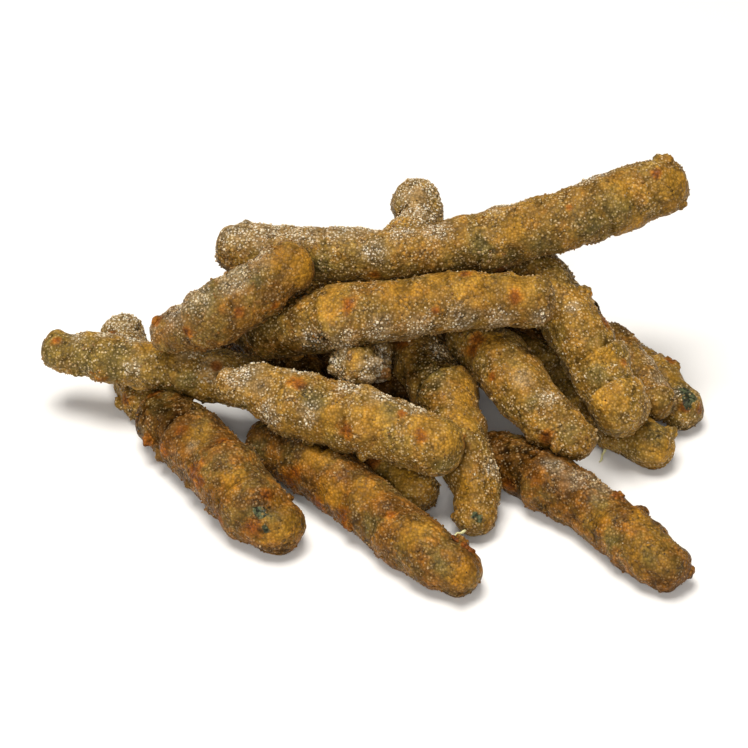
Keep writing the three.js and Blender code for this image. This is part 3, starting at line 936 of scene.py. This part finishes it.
corners, triangles = ball_points(4)
balls, brown_and_shade_values = [], []
spots = {kind: [] for kind in SPOTS}
for name, rows in NUBS.items():
    for along, degrees, radius in rows:
        place, normal = LINES[name].surface_point(along, degrees)
        ball = place + normal * radius * (1 - 2 * NUB_SINK) + corners * radius
        ball += 0.5 * radius * corners * field(lambda p: noise.fractal(p, 0.8, 2.0, 3), ball, 2, 5)[:, None]
        balls.append(ball)
        brown_and_shade_values.append(BROWN_AND_SHADE.get(name, BROWN_AND_SHADE_OTHERS))
        for kind, strength in dressed_strengths(name, ball, SEEDS[name]).items():
            spots[kind].append(strength)
balls = np.array(balls)
points = balls.reshape(-1, 3)
normals = np.tile(corners, (len(balls), 1))
height, rough, painted_shade_level = batter_relief(points, 17)
points = press_flat(points + normals * height[:, None])
nub_mesh = joined("nubs", points.reshape(balls.shape), triangles)
for kind in SPOTS:
    store(nub_mesh, kind, np.concatenate(spots[kind]))
# painted shade where the nubs touch other beans
store(nub_mesh, "painted_shade_level", painted_shade_level - PAINTED_SHADE_DARK * np.concatenate(spots["painted_shade"]))
store(nub_mesh, "brown_and_shade", np.repeat(brown_and_shade_values, len(corners)))
write_points(nub_mesh, points * MM)
finish_piece("nubs", nub_mesh, batter)
print(len(balls), "nubs of", len(nub_mesh.polygons), "faces")

# %% [markdown]
# A few flakes stand out by their colour: curled bits of fried skin, toasted tips, and the pale lumps that
# make the near end of one bean ragged, painted lighter where they sit in shade. Each one is a ball
# pressed to a length, a width and a thickness, laid along its bean and turned.

# %% Flakes
FLAKES = [  # bean, along, degrees, length, width, thickness, turn in degrees, toast, flour and painted light
    ("front_floor", 54, -40, 6.6, 1.7, 1.6, 8, 1.1, 0),
    ("right_last", 18.3, -50, 3, 1.8, 1.6, 0, 0.6, 0),
    ("left_top", -0.8, 6, 2.6, 1.6, 1.6, 80, 0.6, 0),
    ("right_outer", 10.5, -52, 3.4, 1.4, 1.8, 0, 0.3, 0),
    ("left_arm", 10, 92, 3.4, 1.6, 1.6, 0, 0.4, 0),
    ("left_floor", 1.5, 95, 2.6, 1.4, 1.6, 0, 0.4, 0),
    ("right_floor", 29, -32, 1.8, 1.3, 2.2, 0, 0.3, 0),
    ("cross", 47, -100, 4.5, 6, 4.2, 0, 0, 1.5),
    ("cross", 48.6, -102, 2.4, 3.6, 5, 0, 0.4, 0.6),
    ("cross", 55, 100, 3.4, 3, 3, 0, 0, 0.6),
    ("cross", 55.4, -110, 3.6, 3.2, 3.2, 0, 0, 1.4),
    ("cross", 54.3, -70, 3.4, 3, 3.4, 0, 0, 1.4),
    ("cross", 54.3, 30, 3, 3.2, 3, 0, 0, 0.8),
    ("cross", 56.2, 10, 2.4, 3.4, 3, 0, 0.1, 0.4),
]


def flake(bean, along, degrees, length, width, thickness, turn):
    """Points of a flake in mm, and their normals"""
    place, normal = LINES[bean].surface_point(along, degrees)
    ahead, _ = LINES[bean].surface_point(along + 0.5, degrees)
    run = unit(ahead - place)
    side = np.cross(normal, run)
    angle = math.radians(turn)
    turned_run = run * math.cos(angle) + side * math.sin(angle)
    turned_side = side * math.cos(angle) - run * math.sin(angle)
    axes = np.array((turned_run, turned_side, normal))
    ball = place + (corners * (length / 2, width / 2, thickness / 2)) @ axes
    return ball, corners @ axes


def store_plain(mesh, count, painted_shade_level, brown_and_shade, **spots):
    """The attributes of the batter for a mesh without spots of its own"""
    for kind in SPOTS:
        store(mesh, kind, spots.get(kind, np.zeros(count)))
    store(mesh, "painted_shade_level", painted_shade_level)
    store(mesh, "brown_and_shade", brown_and_shade)


shapes = [flake(*row[:7]) for row in FLAKES]
balls = np.array([shape[0] for shape in shapes])
points = balls.reshape(-1, 3)
normals = np.array([shape[1] for shape in shapes]).reshape(-1, 3)
ragged = field(lambda p: noise.fractal(p, 0.8, 2.0, 3), points, 1.4, 3)
height, rough, painted_shade_level = batter_relief(points, 23)
points = press_flat(points + normals * (height + 0.35 * ragged)[:, None])
flake_mesh = joined("flakes", points.reshape(balls.shape), triangles)
store_plain(flake_mesh, len(points), painted_shade_level, np.full(len(points), 0.5),
            toast=np.repeat([row[7] for row in FLAKES], len(corners)),
            frost=np.repeat([row[8] for row in FLAKES], len(corners)))
write_points(flake_mesh, points * MM)
finish_piece("flakes", flake_mesh, batter)
print(len(FLAKES), "flakes")

# %% [markdown]
# Two threads of bean string hang out of the coat. A thread is a row of rings along a bent path.

# %% Threads
THREAD_RADIUS = 0.34
THREAD_SIDES = 8
THREADS = [  # bean, along, degrees, and the moves from there to the thread's middle and end, in mm
    ("leaning", 51.9, 50, (-1.5, -1.2, -0.3), (-3.2, -1.6, -0.9)),
    ("right_under", 33.6, 131, (0.1, -1.4, -0.8), (-1.3, -3.4, -1.6)),
]


def thread_points(start, middle, end):
    """Rings of points round a bent path, thinner towards the end"""
    share = np.linspace(0, 1, 14)[:, None]
    path = (1 - share) ** 2 * start + 2 * share * (1 - share) * middle + share**2 * end
    path += 0.12 * np.sin(share * (9, 13, 11))
    tangent = unit(np.gradient(path, axis=0))
    side = unit(np.cross(tangent, (0.3, 0.2, 1)))
    up = np.cross(side, tangent)
    turn = np.linspace(0, 2 * math.pi, THREAD_SIDES, endpoint=False)[:, None, None]
    radius = THREAD_RADIUS * (1 - 0.45 * share) * (1 + 0.2 * np.sin(25 * share))
    return (path + radius * (side * np.cos(turn) + up * np.sin(turn))).transpose(1, 0, 2)


string, _, shader, _ = new_material("bean_string")
shader.inputs["Base Color"].default_value = hex_colour("C9C48E")
shader.inputs["Roughness"].default_value = 0.45
for number, (bean, along, degrees, middle, end) in enumerate(THREADS):
    place, normal = LINES[bean].surface_point(along, degrees)
    start = place - 0.5 * normal
    rings = thread_points(start, place + middle, place + end)
    rings[:, :, 2] = np.maximum(rings[:, :, 2], 0.05)
    count = len(rings)
    bm = bmesh.new()
    verts = [[bm.verts.new(corner * MM) for corner in ring] for ring in rings]
    for i in range(count - 1):
        for j in range(THREAD_SIDES):
            k = (j + 1) % THREAD_SIDES
            bm.faces.new((verts[i][j], verts[i][k], verts[i + 1][k], verts[i + 1][j]))
    bm.faces.new(verts[0][::-1])
    bm.faces.new(verts[-1])
    bmesh.ops.recalc_face_normals(bm, faces=bm.faces)
    mesh = bpy.data.meshes.new("thread")
    bm.to_mesh(mesh)
    bm.free()
    finish_piece("thread_" + str(number + 1), mesh, string)
print(len(THREADS), "threads")

# %% [markdown]
# Loose grains of crumb and flour sit all over the coat. They are small angular balls, joined into one
# piece for each bean. More of them lie on the floury places, which also carry painted light, few on
# toasted, bare or smooth gold ones, and the browner and more shaded a bean is painted, the fewer it has.
# Their tint is paler with the flour and painted light, and darker with the browning, the toast and the
# painted shade. The places are drawn at random from the faces of the skin. The seed is fixed, but Blender
# numbers a new ball's faces in another order in each run, so the number of crumbs stays and single crumbs
# lie elsewhere each time.

# %% Crumbs
CRUMBS_PER_MM2 = 1.1
CRUMB_RADIUS = (0.13, 0.36)
CRUMB_SINK = 0.25
draw = np.random.default_rng(20)


def face_values(mesh, key, width):
    """One row of that property for each face"""
    flat = np.empty(len(mesh.polygons) * width, np.float32)
    mesh.polygons.foreach_get(key, flat)
    return flat.reshape(-1, width).astype(float) if width > 1 else flat.astype(float)


corners, triangles = ball_points(1)
total = 0
for name, (mesh, points, rough, strengths) in SKINS.items():
    centres = face_values(mesh, "center", 3)
    normals = face_values(mesh, "normal", 3)
    areas = face_values(mesh, "area", 1)
    first = np.empty(len(mesh.loops), np.int32)
    mesh.loops.foreach_get("vertex_index", first)
    starts = np.empty(len(mesh.polygons), np.int32)
    mesh.polygons.foreach_get("loop_start", starts)
    corner = first[starts]
    frost = strengths["frost"][corner]
    clear = np.maximum(strengths["bare"], 0.9 * np.maximum(strengths["toast"], strengths["gold_and_light"]))[corner]
    dense = 1.1 * rough[corner] ** 2 * (0.5 + 1.4 * frost) * (1 - 0.9 * clear) * (centres[:, 2] > 0.3)
    dense *= 1 - 0.4 * BROWN_AND_SHADE.get(name, BROWN_AND_SHADE_OTHERS)
    weights = areas * dense
    count = int(CRUMBS_PER_MM2 * weights.sum())
    chosen = draw.choice(len(areas), count, p=weights / weights.sum())
    smallest, largest = CRUMB_RADIUS
    radius = smallest + (largest - smallest) * draw.uniform(0, 1, count) ** 2.5
    stretch = draw.uniform(0.65, 1.25, (count, 1, 3))
    knobs = draw.uniform(0.8, 1.2, (count, len(corners), 1))
    shapes = corners[None] * stretch * knobs
    middle = centres[chosen] + normals[chosen] * (radius * (0.5 - CRUMB_SINK))[:, None]
    balls = middle[:, None] + shapes * radius[:, None, None]
    balls[:, :, 2] = np.maximum(balls[:, :, 2], 0)
    crumbs = joined("crumbs_" + name, balls * MM, triangles)
    # paler with flour and painted light, darker with browning, toast and painted shade
    tint = draw.normal(0.45, 0.17, count) + 0.45 * frost[chosen] - 0.4 * BROWN_AND_SHADE.get(name, BROWN_AND_SHADE_OTHERS)
    tint -= 0.5 * (strengths["toast"] + strengths["painted_shade"])[corner][chosen]
    tint -= 1.5 * np.maximum(radius - 0.25, 0)
    store(crumbs, "tint", np.repeat(np.clip(tint, 0, 1), len(corners)))
    finish_piece("crumbs_" + name, crumbs, grains, smooth=False)
    write_points(mesh, points * MM)
    finish_piece("bean_" + name, mesh, batter)
    total += count
print(total, "crumbs of", len(triangles), "faces")

# %% [markdown]
# The middle of the heap holds scraps of batter and broken bits, seen only as dark shapes between the
# beans. One lumpy ball is enough for them. Its coat is painted with full shade and the darkest browning.

# %% Core
CORE_CENTRE = np.array((0, 17, 9))
CORE_HALF = np.array((22, 15, 10))
CORE_WAVES = np.array((5, 4, 6))
CORE_LUMP = 0.12

ball, triangles = ball_points(6)
wave = ball * CORE_WAVES
swell = 1 + CORE_LUMP * (np.cos(wave[:, 0]) * np.cos(wave[:, 1]) + np.sin(wave[:, 2]))
points = ball * swell[:, None] * CORE_HALF + CORE_CENTRE
core_mesh = joined("core", points[None], triangles)
normals = read_normals(core_mesh)
height, rough, painted_shade_level = batter_relief(points, 91)
# painted shade: the core's coat is darkened all over
store_plain(core_mesh, len(points), painted_shade_level - PAINTED_SHADE_DARK, np.full(len(points), 1))
write_points(core_mesh, press_flat(points + normals * height[:, None]) * MM)
finish_piece("core", core_mesh, batter)
print("core of", len(core_mesh.polygons), "faces")
